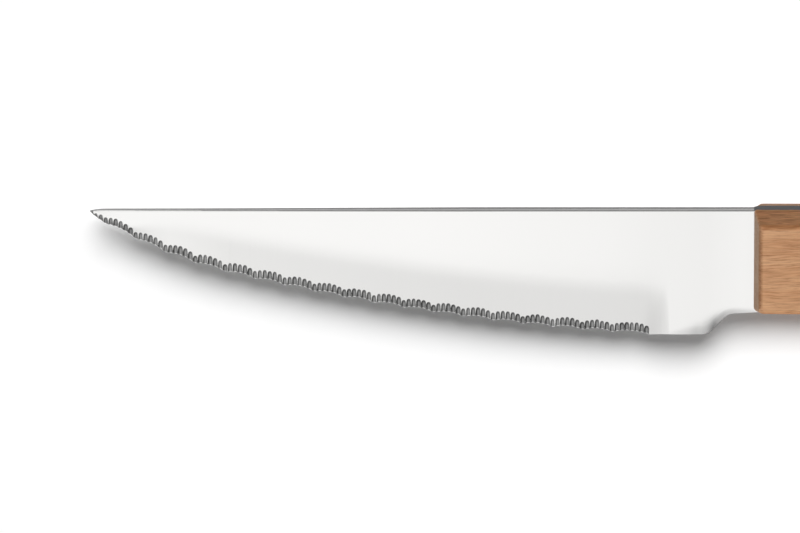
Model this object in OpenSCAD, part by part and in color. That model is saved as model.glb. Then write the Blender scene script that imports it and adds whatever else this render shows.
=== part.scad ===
// Steak knife with a serrated blade, a full tang and two riveted wooden scales.
// It lies on its side: the point is at -X, the back of the blade at +Y, and the
// flat outer face of the lower scale rests on the plane Z = 0.

/* [Blade] */
// Length of the blade from the handle to the point
blade_len = 120; // [105:1:135]
// Height of the blade at its heel
blade_h = 24.1; // [22:0.1:27]
// Thickness of the steel in the handle and at the heel
steel_t = 2.2; // [1.8:0.1:2.8]
// Thickness that the faces taper to at the point
point_t = 1.1; // [0.8:0.1:1.5]
// Distance from the handle to where the faces begin to taper
taper_start = 53; // [35:1:75]
// How far the point lies below the back of the blade
point_drop = 0.6; // [0.3:0.1:1.5]
// Length of the back that curves down to the point
point_run = 4; // [3:0.5:8]
// Slope of the cutting edge at the heel, in degrees
heel_slope = 4; // [3:0.5:5]
// Slope of the cutting edge where its two arcs meet, in degrees
belly_slope = 12.8; // [11:0.1:14]
// Slope of the cutting edge at the point, in degrees
point_slope = 36; // [33:1:42]

/* [Heel and neck] */
// Distance from the handle to the front corner of the heel, where the teeth begin
heel_front = 18.9; // [16:0.1:23]
// Distance from the handle to the back corner of the heel
heel_back = 8.8; // [7.5:0.1:10]
// How far the heel stands below the neck at the handle
heel_step = 4.3; // [3:0.1:6]
// Distance from the handle to the foot of the slope under the neck
neck_len = 4.4; // [3.5:0.1:5.5]
// How far the neck deepens between the handle and the slope
neck_sink = 0.4; // [0.2:0.1:0.8]
// Radius of the rounded back corner of the heel
heel_r = 2; // [1:0.1:3]
// Radius of the hollow corner under the neck
neck_r = 2.5; // [1:0.1:4]
// Width of the bevel along the lower edges of the heel and the neck
bevel_w = 1.4; // [0.6:0.1:2]
// Depth of that bevel on each face
bevel_d = 0.6; // [0.3:0.05:0.8]

/* [Grinding] */
// Height of the hollow-ground face above the cutting edge
grind_h = 9; // [7.5:0.1:11]
// How far the ground face is hollowed below a flat one
hollow_sag = 0.15; // [0.05:0.01:0.2]
// Thickness of the ground edge before the flutes are cut
edge_t = 0.36; // [0.34:0.02:0.5]
// Length of the ramp that ends the ground face behind the front corner of the heel
plunge_run = 2.8; // [2:0.1:4]

/* [Serration] */
// Spacing of the small flutes along the blade
flute_pitch = 0.91; // [0.85:0.01:1.1]
// Radius of the wheel edge that cuts a flute
flute_r = 0.4; // [0.35:0.01:0.45]
// Length of a flute up the ground face
flute_len = 1.6; // [1.2:0.1:2]
// Depth of a flute at the cutting edge
flute_depth = 0.28; // [0.2:0.01:0.3]
// Number of flutes across one scallop
flutes_per_scallop = 6; // [5:1:8]
// Depth of a scallop
scallop_depth = 0.6; // [0.4:0.05:0.8]
// Width of the wider scallop next to the heel
heel_scallop_w = 6.7; // [5.5:0.1:8]
// Width of the blunt tooth left between two scallops
tooth_land = 0.16; // [0.1:0.01:0.3]
// Length of plain edge left at the point
point_plain = 1.2; // [0.8:0.1:3]

/* [Handle] */
// Length of the handle
handle_len = 110; // [95:1:125]
// How much taller the handle is where its rounded end begins than at its front
butt_flare = 2.5; // [0.5:0.1:4]
// How far the back of the handle sinks towards the butt
butt_drop = 3; // [1:0.1:5]
// Length of the rounded end
butt_len = 10; // [8:0.5:13]
// Thickness of each wooden scale
scale_t = 5.15; // [4.2:0.05:6.5]
// Slope of the long sides of a scale, in degrees
side_draft = 15; // [8:1:20]
// Slope of the front end of a scale, in degrees
front_draft = 9; // [4:1:14]
// Radius of the two front corners of a scale
front_corner_r = 1.3; // [0.8:0.1:2]
// Width of the eased edge round the flat face of a scale
eased_w = 0.35; // [0.2:0.05:0.6]

/* [Rivets] */
// Diameter of a rivet head
rivet_head_d = 6; // [5:0.1:7]
// Thickness of a rivet head
rivet_head_t = 1.3; // [1:0.1:1.8]
// Outer diameter of the hollow half of a rivet
rivet_sleeve_d = 4.2; // [3.8:0.1:4.6]
// Diameter of the pin half of a rivet
rivet_pin_d = 2.8; // [2.4:0.1:3]
// Gap between the pin's end and the bottom of the hollow half
rivet_end_gap = 0.4; // [0.2:0.1:0.8]
// Radial clearance of the rivets in their holes and in each other
rivet_fit = 0.04; // [0.02:0.01:0.08]

/* [Hidden] */
$fn = 96;

// How far every cutter runs past the steel or the wood
overrun = 1;
// Segments on each stretch of outline
line_steps = 18;
arc_steps = 6;

// Places of the rivets along the handle, as shares of its length
rivet_shares = [0.15, 0.455, 0.76];
// Heights of the back and belly control points, as shares of butt_drop and of the flare
back_shares = [0, 0, 0.3, 1];
belly_shares = [0, 0.06, 0.13, 1];
// Reach of the curve handles of the rounded end, as a share of each quarter
butt_round_share = 0.6;
// Where the rounded end stands out furthest, as a share of its height
butt_nose_share = 0.5;
// Most of the blade's height that a flute near the point may take
point_flute_share = 0.62;
// Most of the heel's corner radius that the bevel may take
bevel_corner_share = 0.8;
// How far the bevel's cutter rises above the face, as a share of its width
bevel_lift_share = 0.15;
// How far a flute's cutter runs on above its top, as a share of the flute
flute_exit_share = 0.3;

steel_colour = [0.93, 0.92, 0.9];
rivet_colour = [0.8, 0.79, 0.77];
wood_colour = [0.74, 0.56, 0.42];

half_t = steel_t / 2;
handle_t = steel_t + 2 * scale_t;
// Height of the handle and of the neck where they meet
front_h = blade_h - heel_step;

// A cubic curve through its first and last control value
function cubic(c, u) =
    pow(1 - u, 3) * c[0] + 3 * u * pow(1 - u, 2) * c[1]
    + 3 * u * u * (1 - u) * c[2] + pow(u, 3) * c[3];
// Its rate of change
function cubic_rate(c, u) =
    3 * pow(1 - u, 2) * (c[1] - c[0]) + 6 * u * (1 - u) * (c[2] - c[1])
    + 3 * u * u * (c[3] - c[2]);
function unit(v) = v / norm(v);
function polar(r, a) = [r * cos(a), r * sin(a)];

// The cutting edge before scalloping: two arcs that meet with one tangent.
// A slope is the angle at which the edge rises towards the point.
edge_run = blade_len - heel_front;
edge_rise = blade_h - point_drop;
main_dx = sin(belly_slope) - sin(heel_slope);
main_dy = cos(heel_slope) - cos(belly_slope);
point_dx = sin(point_slope) - sin(belly_slope);
point_dy = cos(belly_slope) - cos(point_slope);
edge_det = main_dx * point_dy - point_dx * main_dy;
main_r = (edge_run * point_dy - edge_rise * point_dx) / edge_det;
point_r = (edge_rise * main_dx - edge_run * main_dy) / edge_det;
heel_corner = [-heel_front, -blade_h];
main_centre = heel_corner + main_r * [sin(heel_slope), cos(heel_slope)];
belly_point = main_centre - main_r * [sin(belly_slope), cos(belly_slope)];
point_centre = belly_point + point_r * [sin(belly_slope), cos(belly_slope)];

function edge_centre(x) = x > belly_point[0] ? main_centre : point_centre;
function edge_radius(x) = x > belly_point[0] ? main_r : point_r;
function plain_edge_y(x) =
    edge_centre(x)[1] - sqrt(pow(edge_radius(x), 2) - pow(x - edge_centre(x)[0], 2));
function back_y(x) =
    let(s = max(0, (-x - blade_len + point_run) / point_run)) -point_drop * s * s;

// Scallops: arcs between neighbouring tooth points on the plain edge
scallop_pitch = flutes_per_scallop * flute_pitch;
scallop_count =
    1 + floor((edge_run - heel_scallop_w - point_plain) / scallop_pitch);
function tooth_x(k) =
    k == 0 ? -heel_front : -heel_front - heel_scallop_w - (k - 1) * scallop_pitch;
function tooth(k) = [tooth_x(k), plain_edge_y(tooth_x(k))];
function scallop_r(k) =
    let(chord = norm(tooth(k) - tooth(k + 1)) - tooth_land)
    (chord * chord / 4 + scallop_depth * scallop_depth) / (2 * scallop_depth);
function scallop_centre(k) =
    let(along = unit(tooth(k) - tooth(k + 1)))
    (tooth(k) + tooth(k + 1)) / 2
    + (scallop_depth - scallop_r(k)) * [-along[1], along[0]];
function scallop_at(x) =
    x > tooth_x(1) ? 0 : 1 + floor((tooth_x(1) - x) / scallop_pitch);
function arch_y(k, x) =
    scallop_centre(k)[1] + sqrt(pow(scallop_r(k), 2) - pow(x - scallop_centre(k)[0], 2));
function edge_y(x) =
    let(k = scallop_at(x))
    k < scallop_count ? max(plain_edge_y(x), arch_y(k, x)) : plain_edge_y(x);

// Hollow grinding: half the thickness at a height above the plain edge
function hollow_z(h) =
    let(u = h / grind_h)
    edge_t / 2 + (half_t - edge_t / 2) * u - 4 * hollow_sag * u * (1 - u);
function ground_z(x, y) = hollow_z(edge_radius(x) - norm([x, y] - edge_centre(x)));
plunge_x = -heel_front + plunge_run;

// Flutes, one row from the heel to the point
flute_count = 1 + floor((edge_run - point_plain - flute_pitch / 2) / flute_pitch);
function flute_x(i) = -heel_front - (i + 0.5) * flute_pitch;
function flute_length(x) = min(flute_len, point_flute_share * (back_y(x) - edge_y(x)));

// Heel and neck: straight runs joined by a round and a hollow corner
heel_end = [-heel_back, -blade_h];
slope_top = [-neck_len, -front_h - neck_sink];
neck_end = [0, -front_h];
slope_a = atan2(slope_top[1] - heel_end[1], slope_top[0] - heel_end[0]);
neck_a = atan2(neck_end[1] - slope_top[1], neck_end[0] - slope_top[0]);
heel_tangent = heel_r * tan(slope_a / 2);
neck_tangent = neck_r * tan((slope_a - neck_a) / 2);
heel_round_c = heel_end + [-heel_tangent, heel_r];
neck_round_c = slope_top - polar(neck_tangent, slope_a) + polar(neck_r, slope_a - 90);

// Points of the plain edge from the point to the heel, and on round the heel to the handle
edge_line = concat(
    [for (i = [0 : line_steps])
        let(a = point_slope + (belly_slope - point_slope) * i / line_steps)
        point_centre - point_r * [sin(a), cos(a)]],
    [for (i = [1 : line_steps])
        let(a = belly_slope + (heel_slope - belly_slope) * i / line_steps)
        main_centre - main_r * [sin(a), cos(a)]]);
heel_line = concat(
    [for (i = [0 : arc_steps]) heel_round_c + polar(heel_r, 270 + slope_a * i / arc_steps)],
    [for (i = [0 : arc_steps])
        neck_round_c + polar(neck_r, 90 + slope_a + (neck_a - slope_a) * i / arc_steps)],
    [neck_end]);

// Handle outline: back and belly are cubics over the straight length, the butt is two quarters
grip_len = handle_len - butt_len;
back_line = [for (s = back_shares) -butt_drop * s];
belly_line = [for (s = belly_shares) -front_h - (butt_drop + butt_flare) * s];
function grip_back(u) = [u * grip_len, cubic(back_line, u)];
function grip_belly(u) = [u * grip_len, cubic(belly_line, u)];
back_end_rate = cubic_rate(back_line, 1) / grip_len;
belly_end_rate = cubic_rate(belly_line, 1) / grip_len;
butt_reach = butt_len * butt_round_share;
nose = [handle_len, belly_line[3] + (back_line[3] - belly_line[3]) * butt_nose_share];
butt_low = [grip_belly(1), grip_belly(1) + butt_reach * [1, belly_end_rate],
            [nose[0], nose[1] + (belly_line[3] - nose[1]) * butt_round_share], nose];
butt_high = [nose, [nose[0], nose[1] + (back_line[3] - nose[1]) * butt_round_share],
             grip_back(1) + butt_reach * [1, back_end_rate], grip_back(1)];

// Points of the handle outline from the neck round the butt to the back, without its front corners
handle_line = concat(
    [for (i = [1 : line_steps]) grip_belly(i / line_steps)],
    [for (i = [1 : arc_steps]) cubic(butt_low, i / arc_steps)],
    [for (i = [1 : arc_steps]) cubic(butt_high, i / arc_steps)],
    [for (i = [line_steps - 1 : -1 : 1]) grip_back(i / line_steps)]);
last_point = len(handle_line) - 1;
function outward(i) =
    let(a = handle_line[max(0, i - 1)], b = handle_line[min(last_point, i + 1)], d = unit(b - a))
    [d[1], -d[0]];

// The part's origin, in the middle of the resting face
origin_x = handle_len / 2;
origin_u = origin_x / grip_len;
origin_y = (grip_back(origin_u)[1] + grip_belly(origin_u)[1]) / 2;
function rivet_place(i) =
    let(x = rivet_shares[i] * handle_len, u = x / grip_len)
    [x, (grip_back(u)[1] + grip_belly(u)[1]) / 2];

// Puts pieces drawn from the handle's front and the steel's middle into the part's frame
module in_place() {
    translate([-origin_x, -origin_y, handle_t / 2]) children();
}

// Outline of blade and tang, which are one piece of sheet
module steel_outline() {
    polygon(concat(
        [for (i = [0 : arc_steps - 1])
            let(x = -blade_len + point_run * (1 - i / arc_steps)) [x, back_y(x)]],
        edge_line,
        heel_line,
        handle_line,
        [[0, 0]]));
}

// Solid skin over a stack of rings with equal numbers of points
module loft(rings) {
    count = len(rings[0]);
    top = len(rings) - 1;
    polyhedron(
        points = [for (ring = rings) each ring],
        faces = concat(
            [[for (i = [0 : count - 1]) i]],
            [for (k = [0 : top - 1], i = [0 : count - 1])
                let(j = (i + 1) % count) each [
                    [k * count + i, (k + 1) * count + j, k * count + j],
                    [k * count + i, (k + 1) * count + i, (k + 1) * count + j]]],
            [[for (i = [count - 1 : -1 : 0]) top * count + i]]));
}

// Mitred direction to the left of a line at one of its points
function leftward(line, i) =
    let(n = len(line) - 1,
        a = unit(line[max(1, i)] - line[max(0, i - 1)]),
        b = unit(line[min(n, i + 1)] - line[min(n - 1, i)]),
        m = [-a[1] - b[1], a[0] + b[0]])
    m / (1 + a * b);

// A section, given as distances to the left and heights, set up at a point of a line
function set_up(section, line, i) =
    [for (s = section) let(p = line[i] + s[0] * leftward(line, i)) [p[0], p[1], s[1]]];

// Section that the grinding wheel takes off the upper face, raised where it runs out
function grind_section(lift) =
    let(top_z = half_t + 2 * overrun, wide = grind_h + overrun)
    concat(
        [[-overrun, hollow_z(-overrun) + lift]],
        [for (i = [1 : arc_steps]) let(h = grind_h * i / arc_steps) [h, hollow_z(h) + lift]],
        [[wide, hollow_z(wide) + lift], [wide, top_z + lift], [-overrun, top_z + lift]]);

// Hollow grinding of the upper face, from past the point to its ramp at the heel
module face_grind() {
    past_point = edge_line[0] + overrun * [-cos(point_slope), sin(point_slope)];
    bend = [for (i = [1 : len(edge_line) - 1]) edge_line[i]];
    ramp = [for (i = [1 : arc_steps])
        heel_corner + plunge_run * i / arc_steps * [cos(heel_slope), -sin(heel_slope)]];
    line = concat([past_point], bend, ramp);
    ramp_start = len(line) - arc_steps - 1;
    function lift(i) =
        (half_t - edge_t / 2) * pow(max(0, i - ramp_start) / arc_steps, 2);
    loft([for (i = [0 : len(line) - 1]) set_up(grind_section(lift(i)), line, i)]);
}

// Taper of the upper face towards the point
module face_taper() {
    rate = (steel_t - point_t) / 2 / (blade_len - taper_start);
    start_x = -taper_start + overrun;
    end_x = -blade_len - overrun;
    function face_z(x) = half_t + (x + taper_start) * rate;
    translate([0, overrun, 0])
        rotate([90, 0, 0])
            linear_extrude(blade_h + 2 * overrun)
                polygon([[end_x, face_z(end_x)], [start_x, face_z(start_x)],
                         [start_x, half_t + overrun], [end_x, half_t + overrun]]);
}

// Section of the bevel on a lower edge, no wider than the rounded corner of the heel lets it be
bevel_fit_w = min(bevel_w, heel_r * bevel_corner_share);
function bevel_section(outwards) =
    let(rate = bevel_d / bevel_fit_w, lift = bevel_fit_w * bevel_lift_share,
        low_z = half_t - bevel_d, top_z = half_t + lift * rate)
    [[-overrun - outwards, low_z - overrun * rate], [bevel_fit_w + lift - outwards, top_z],
     [-overrun - outwards, top_z]];

// Bevel of the upper face round the heel and the neck, which runs out forwards under the heel
module face_bevel() {
    line = concat([[plunge_x, -blade_h]], heel_line);
    loft([for (i = [0 : len(line) - 1])
        set_up(bevel_section(i == 0 ? bevel_fit_w : 0), line, i)]);
}

// Large waves of the cutting edge
module scallops() {
    for (k = [0 : scallop_count - 1])
        translate([scallop_centre(k)[0], scallop_centre(k)[1], -half_t - overrun])
            cylinder(r = scallop_r(k), h = steel_t + 2 * overrun);
}

// Small round flutes across the upper face of the edge
module flutes() {
    for (i = [0 : flute_count - 1]) {
        x = flute_x(i);
        y = edge_y(x);
        long = flute_length(x);
        deep = flute_depth * long / flute_len;
        low_z = ground_z(x, y) - deep;
        tilt = atan2(ground_z(x, y + long) - low_z, long);
        translate([x, y, low_z])
            rotate([tilt, 0, 0])
                translate([0, -overrun, flute_r])
                    rotate([-90, 0, 0])
                        cylinder(r = flute_r, h = overrun + long * (1 + flute_exit_share));
    }
}

module both_faces() {
    children();
    mirror([0, 0, 1]) children();
}

// Blade and tang
module blade() {
    color(steel_colour)
        in_place()
            difference() {
                translate([0, 0, -half_t]) linear_extrude(steel_t) steel_outline();
                both_faces() face_grind();
                both_faces() face_taper();
                both_faces() face_bevel();
                scallops();
                flutes();
                for (i = [0 : len(rivet_shares) - 1])
                    translate([rivet_place(i)[0], rivet_place(i)[1], -half_t - overrun])
                        cylinder(d = rivet_sleeve_d + 2 * rivet_fit, h = steel_t + 2 * overrun);
            }
}

// Quarter of a circle that starts at an angle
function corner_line(centre, start) =
    [for (i = [0 : arc_steps]) centre + polar(front_corner_r, start + 90 * i / arc_steps)];

// One ring of a scale's outline at a height, drawn in from the tang's outline
function scale_ring(side_in, front_in, z) =
    let(corner_x = front_in + front_corner_r,
        line = concat(
            corner_line([corner_x, -front_h + side_in + front_corner_r], 180),
            [for (i = [0 : last_point]) handle_line[i] - side_in * outward(i)],
            corner_line([corner_x, -side_in - front_corner_r], 90)))
    [for (p = line) [p[0], p[1], z]];

// Body of a scale: sloped sides, an eased edge and a flat outer face
module scale_body() {
    eased_z = scale_t - eased_w;
    side_in = eased_z * tan(side_draft);
    front_in = eased_z * tan(front_draft);
    loft([
        scale_ring(0, 0, 0),
        scale_ring(side_in, front_in, eased_z),
        scale_ring(side_in + eased_w, front_in + eased_w, scale_t)]);
}

// One scale with its rivet holes, as it sits on the tang's upper face
module wooden_scale() {
    difference() {
        translate([0, 0, half_t]) scale_body();
        for (i = [0 : len(rivet_shares) - 1])
            translate([rivet_place(i)[0], rivet_place(i)[1], half_t]) {
                translate([0, 0, -overrun])
                    cylinder(d = rivet_sleeve_d + 2 * rivet_fit, h = scale_t + 2 * overrun);
                translate([0, 0, scale_t - rivet_head_t])
                    cylinder(d = rivet_head_d + 2 * rivet_fit, h = rivet_head_t + overrun);
            }
    }
}

module upper_scale() {
    color(wood_colour) in_place() wooden_scale();
}

module lower_scale() {
    color(wood_colour) in_place() mirror([0, 0, 1]) wooden_scale();
}

// Solid half of a rivet, with its head in the upper scale
module rivet_pin(i) {
    shank_low = -handle_t / 2 + rivet_head_t + rivet_end_gap;
    color(rivet_colour)
        in_place()
            translate([rivet_place(i)[0], rivet_place(i)[1], 0]) {
                translate([0, 0, handle_t / 2 - rivet_head_t])
                    cylinder(d = rivet_head_d, h = rivet_head_t);
                translate([0, 0, shank_low])
                    cylinder(d = rivet_pin_d, h = handle_t / 2 - rivet_head_t / 2 - shank_low);
            }
}

// Hollow half of a rivet, with its head in the lower scale
module rivet_sleeve(i) {
    floor_z = -handle_t / 2 + rivet_head_t;
    color(rivet_colour)
        in_place()
            translate([rivet_place(i)[0], rivet_place(i)[1], 0])
                difference() {
                    union() {
                        translate([0, 0, -handle_t / 2]) cylinder(d = rivet_head_d, h = rivet_head_t);
                        translate([0, 0, floor_z - rivet_head_t / 2])
                            cylinder(d = rivet_sleeve_d,
                                     h = handle_t - rivet_head_t * 3 / 2 - rivet_end_gap);
                    }
                    translate([0, 0, floor_z])
                        cylinder(d = rivet_pin_d + 2 * rivet_fit, h = handle_t);
                }
}

blade();
upper_scale();
lower_scale();
rivet_pin(0);  // front_rivet_pin
rivet_sleeve(0);  // front_rivet_sleeve
rivet_pin(1);  // middle_rivet_pin
rivet_sleeve(1);  // middle_rivet_sleeve
rivet_pin(2);  // rear_rivet_pin
rivet_sleeve(2);  // rear_rivet_sleeve
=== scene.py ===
import math

import bpy
import numpy as np
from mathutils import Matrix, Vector
from mathutils.geometry import delaunay_2d_cdt


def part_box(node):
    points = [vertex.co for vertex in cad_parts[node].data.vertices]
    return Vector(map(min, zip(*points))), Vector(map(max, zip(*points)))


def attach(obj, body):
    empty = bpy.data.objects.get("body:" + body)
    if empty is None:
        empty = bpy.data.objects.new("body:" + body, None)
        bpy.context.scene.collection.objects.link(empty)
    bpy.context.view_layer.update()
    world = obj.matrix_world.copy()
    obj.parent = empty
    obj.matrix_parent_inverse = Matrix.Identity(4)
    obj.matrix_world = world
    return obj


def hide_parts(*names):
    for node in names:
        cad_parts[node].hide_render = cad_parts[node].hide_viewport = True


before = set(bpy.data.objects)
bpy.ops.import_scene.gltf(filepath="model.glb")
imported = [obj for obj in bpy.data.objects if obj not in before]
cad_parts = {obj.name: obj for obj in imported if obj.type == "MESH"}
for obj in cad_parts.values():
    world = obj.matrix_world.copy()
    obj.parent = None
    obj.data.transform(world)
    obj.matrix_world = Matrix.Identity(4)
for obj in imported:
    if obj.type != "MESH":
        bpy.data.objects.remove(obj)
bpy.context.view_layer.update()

MM = 0.001
BODY = "root"

# Blade. Sizes are those of the part's source, some read again from the photo
BLADE_LEN = 120.0
BLADE_H = 24.1
HALF_T = 1.1
POINT_HALF_T = 0.55
TAPER_START = 53.0
# The last stretch before the point is thinner still
POINT_THINS = 0.17
THIN_LEN = 6.0
# The back curves down to the point, and sinks a little on the way there
POINT_DROP = 0.42
POINT_RUN = 2.8
SPINE_SINK = 0.05
SPINE_FALL = 0.09
FALL_START = 45.0
FALL_LEN = 50.0

# Cutting edge: slopes at the heel, where its two arcs meet and at the point
HEEL_SLOPE = math.radians(3.42)
BELLY_SLOPE = math.radians(14.3)
POINT_SLOPE = math.radians(35.9)
# Fuller outline behind the point; the peak makes its curve reach 1
NOSE_FULLNESS = 0.36
NOSE_LEN = 10.0
NOSE_PEAK = 27 / 4
# Half thickness of the edge, which thickens towards the point between two places
EDGE_HALF_T = 0.17
TIP_EDGE_HALF_T = 0.36
EDGE_MAX_SHARE = 0.7
EDGE_THICKENS = (-106.0, -95.0)

# Heel and neck
HEEL_FRONT = 18.9
HEEL_BACK = 8.5
HEEL_R = 2.0
HEEL_RISE = 0.33
HEEL_END_RISE = 0.22
NECK_LEN = 4.6
NECK_H = 19.57
NECK_SINK = 0.29
NECK_R = 2.5
HEEL_CORNER_POINTS = 25

# Serration
FLUTE_PITCH = 0.8975
FLUTES_PER_SCALLOP = 6
SCALLOP_DEPTH = 0.48
HEEL_SCALLOP_W = 6.7
TOOTH_LAND = 0.16
POINT_PLAIN = 0.5

# Handle; its back stands over the blade's after a short rise
HANDLE_LEN = 110.0
FRONT_H = 19.4
HANDLE_RISE = 0.2
RISE_LEN = 1.3
BUTT_FLARE = 2.5
BUTT_DROP = 3.0
BUTT_LEN = 10.0
SCALE_T = 5.15
SIDE_DRAFT = math.radians(15.0)
FRONT_DRAFT = math.radians(9.0)
FRONT_CORNER_R = 0.95
BACK_CORNER_R = 0.5
FAR_CORNER_R = 0.9
SCALE_EASE = 1.1
HANDLE_HALF_T = HALF_T + SCALE_T

# Rivets
RIVET_SHARES = (0.15, 0.455, 0.76)
HEAD_R = 3.0
HEAD_T = 1.3
SLEEVE_R = 2.1
PIN_R = 1.4
END_GAP = 0.4
FIT = 0.04

# Grinding: its height grows with the blade's and falls off near the point, and its shoulder is soft
GRIND_GAIN = 2.55
GRIND_TIP_H = 6.65
GRIND_TIP_SHARE = 0.42
SHOULDER_SHARE = 0.62
BELOW_EDGE_SHARE = -0.1
# The ground face rises back to the flat between two places at the heel
RUNOUT_FRONT = -21.2
RUNOUT_BACK = -15.7
RUNOUT_SOFT = 0.5
RUNOUT_POWER = 2.5
RUNOUT_POINTS = 7
# Eased edges of the back: rounded on the upper side, only broken on the lower one, and gone at the handle
SPINE_EASE = 0.17
BURR_EASE = 0.04
EASE_TALL_SHARE = 1 / 8
EASE_FADE = 0.6
LEAST_EASE_SHARE = 1e-6

# Flutes: how far they reach up the blade, shorter near the point, and how uneven they are
FLUTE_SEEN_LEN = 1.63
TIP_RUN_SHARE = 0.86
RUN_SHORTENS = (-112.0, -102.0)
TIP_FLUTE_SHARE = 0.6
FLUTE_WAVE_SHARE = 0.05
RUN_JITTER_SHARE = 0.03
DEPTH_JITTER_SHARE = 0.2
JITTER_LIMIT = 1.5
SEED = 11
# Their cutter's radius, their depth at the edge and where their rounded end begins, and the burr along
# the edge
FLUTE_CUT_R = 0.62
FLUTE_EDGE_DEPTH = 0.21
FLUTE_END_DEPTH = 0.15
FLUTE_END_SHARE = 0.5
BURR_W = 0.05
BURR_SLOPE = 0.25

blade_low, blade_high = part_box("blade")
blade_mid_z = (blade_low.z + blade_high.z) / 2
OFFSET = np.array([blade_low.x / MM + BLADE_LEN, blade_high.y / MM, blade_mid_z / MM])


def to_part(points):
    return (np.asarray(points, float) + OFFSET) * MM


# Cutting edge before scalloping: two arcs with one tangent
def edge_arcs():
    run = BLADE_LEN - HEEL_FRONT
    rise = BLADE_H - POINT_DROP
    heel_dir = np.array([math.sin(HEEL_SLOPE), math.cos(HEEL_SLOPE)])
    meet_dir = np.array([math.sin(BELLY_SLOPE), math.cos(BELLY_SLOPE)])
    point_dir = np.array([math.sin(POINT_SLOPE), math.cos(POINT_SLOPE)])
    main_d = np.abs(meet_dir - heel_dir)
    point_d = np.abs(point_dir - meet_dir)
    det = main_d[0] * point_d[1] - point_d[0] * main_d[1]
    main_r = (run * point_d[1] - rise * point_d[0]) / det
    point_r = (rise * main_d[0] - run * main_d[1]) / det
    heel = np.array([-HEEL_FRONT, -BLADE_H])
    main_c = heel + main_r * heel_dir
    meet = main_c - main_r * meet_dir
    return main_c, main_r, meet + point_r * meet_dir, point_r, meet[0]


MAIN_C, MAIN_R, POINT_C, POINT_R, MEET_X = edge_arcs()


def arc_at(x):
    main = np.asarray(x) > MEET_X
    return (np.where(main, MAIN_C[0], POINT_C[0]), np.where(main, MAIN_C[1], POINT_C[1]),
            np.where(main, MAIN_R, POINT_R))


def nose(x):
    """Fuller outline near the point, at its fullest a third of its length behind it."""
    t = np.clip((x + BLADE_LEN) / NOSE_LEN, 0, 1)
    return NOSE_FULLNESS * NOSE_PEAK * t * (1 - t) ** 2


def plain_edge(x):
    cx, cy, r = arc_at(x)
    return cy - np.sqrt(np.maximum(r * r - (x - cx) ** 2, 0)) - nose(x)


def back(x):
    s = np.maximum(0, (-x - BLADE_LEN + POINT_RUN) / POINT_RUN)
    sink = SPINE_SINK + SPINE_FALL * np.clip((-x - FALL_START) / FALL_LEN, 0, 1)
    return -sink - (POINT_DROP - sink) * s * s


def above_edge(x, y):
    cx, cy, r = arc_at(x)
    return r - np.hypot(x - cx, y - cy) + nose(x)


# Scallops between neighbouring teeth
SCALLOP_PITCH = FLUTES_PER_SCALLOP * FLUTE_PITCH
SCALLOP_COUNT = 1 + int((BLADE_LEN - HEEL_FRONT - HEEL_SCALLOP_W - POINT_PLAIN) / SCALLOP_PITCH)
REST_OF_TEETH_X = -HEEL_FRONT - HEEL_SCALLOP_W - np.arange(SCALLOP_COUNT) * SCALLOP_PITCH
TOOTH_X = np.concatenate([[-HEEL_FRONT], REST_OF_TEETH_X])
TEETH = np.stack([TOOTH_X, plain_edge(TOOTH_X)], 1)
chord = TEETH[:-1] - TEETH[1:]
chord_len = np.hypot(chord[:, 0], chord[:, 1])
SCALLOP_R = ((chord_len - TOOTH_LAND) ** 2 / 4 + SCALLOP_DEPTH ** 2) / (2 * SCALLOP_DEPTH)
SCALLOP_UP = np.stack([-chord[:, 1], chord[:, 0]], 1) / chord_len[:, None]
SCALLOP_C = (TEETH[:-1] + TEETH[1:]) / 2 + (SCALLOP_DEPTH - SCALLOP_R)[:, None] * SCALLOP_UP


def cutting_edge(x):
    k = np.searchsorted(-TOOTH_X, -x, side="right") - 1
    inside = (k >= 0) & (k < SCALLOP_COUNT)
    k = np.clip(k, 0, SCALLOP_COUNT - 1)
    arch = SCALLOP_C[k, 1] + np.sqrt(np.maximum(SCALLOP_R[k] ** 2 - (x - SCALLOP_C[k, 0]) ** 2, 0))
    return np.where(inside, np.maximum(plain_edge(x), arch), plain_edge(x))


# Heel and neck outline, from the front corner of the heel to the handle
def heel_outline():
    heel_end = np.array([-HEEL_BACK, -BLADE_H + HEEL_END_RISE])
    slope_top = np.array([-NECK_LEN, -NECK_H - NECK_SINK])
    rise = slope_top - heel_end
    slope_a = math.atan2(rise[1], rise[0])
    neck_a = math.atan2(NECK_SINK, NECK_LEN)
    round_c = heel_end + np.array([-HEEL_R * math.tan(slope_a / 2), HEEL_R])
    hollow_back = NECK_R * math.tan((slope_a - neck_a) / 2)
    along = np.array([math.cos(slope_a), math.sin(slope_a)])
    hollow_c = slope_top - hollow_back * along + NECK_R * np.array([along[1], -along[0]])
    steps = np.linspace(0, 1, HEEL_CORNER_POINTS)
    round_a = -math.pi / 2 + slope_a * steps
    hollow_a = math.pi / 2 + slope_a + (neck_a - slope_a) * steps
    return np.concatenate([
        [[-HEEL_FRONT, -BLADE_H], [RUNOUT_BACK, -BLADE_H + HEEL_RISE]],
        round_c + HEEL_R * np.stack([np.cos(round_a), np.sin(round_a)], 1),
        hollow_c + NECK_R * np.stack([np.cos(hollow_a), np.sin(hollow_a)], 1),
        [[0.0, -NECK_H]]])


HEEL_LINE = heel_outline()


def low_line(x):
    return np.where(x < -HEEL_FRONT, cutting_edge(x), np.interp(x, HEEL_LINE[:, 0], HEEL_LINE[:, 1]))


def from_heel_line(x, y):
    a, b = HEEL_LINE[:-1], HEEL_LINE[1:]
    d = b - a
    p = np.stack([x, y], -1)[..., None, :]
    t = np.clip(((p - a) * d).sum(-1) / (d * d).sum(-1), 0, 1)
    return np.linalg.norm(p - (a + t[..., None] * d), axis=-1).min(-1)


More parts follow.
